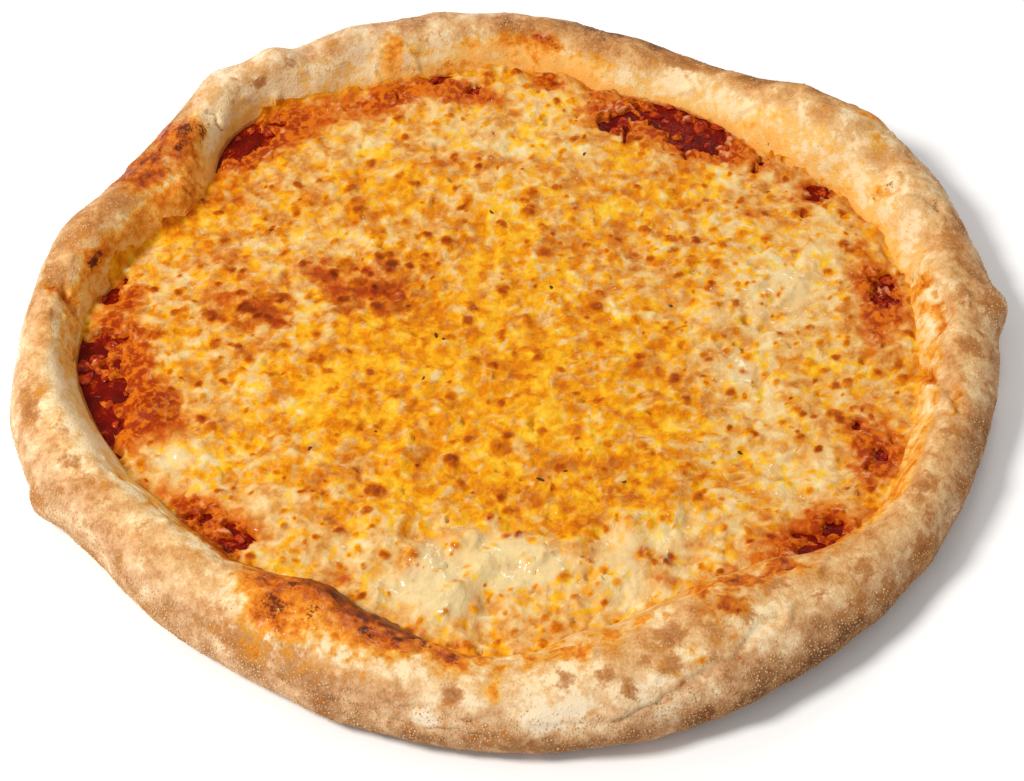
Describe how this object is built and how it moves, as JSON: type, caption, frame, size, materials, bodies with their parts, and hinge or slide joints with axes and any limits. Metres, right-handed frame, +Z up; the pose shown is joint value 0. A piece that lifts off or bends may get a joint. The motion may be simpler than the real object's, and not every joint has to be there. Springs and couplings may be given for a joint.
{
  "type": "margherita pizza",
  "caption": "Whole baked margherita pizza: a puffed, browned dough rim round a thin base with tomato sauce and melted, toasted mozzarella.",
  "frame": {"origin": "on the surface the pizza lies on, under the middle of its box", "axes": "+Z up out of the topping, +X along the pizza's longest width, to the right as seen from the front"},
  "size_m": [0.3278, 0.3112, 0.0305],
  "materials": {
    "crust": "baked wheat dough: dry, matt, pale cream with tan and scorched brown patches",
    "sauce": "cooked tomato sauce: deep red, wet and glossy",
    "cheese": "melted mozzarella: cream to orange with toasted brown blisters and an oily sheen"
  },
  "bodies": {
    "root": {"crust": "crust", "sauce": "sauce", "cheese": "cheese"}
  },
  "joints": []
}
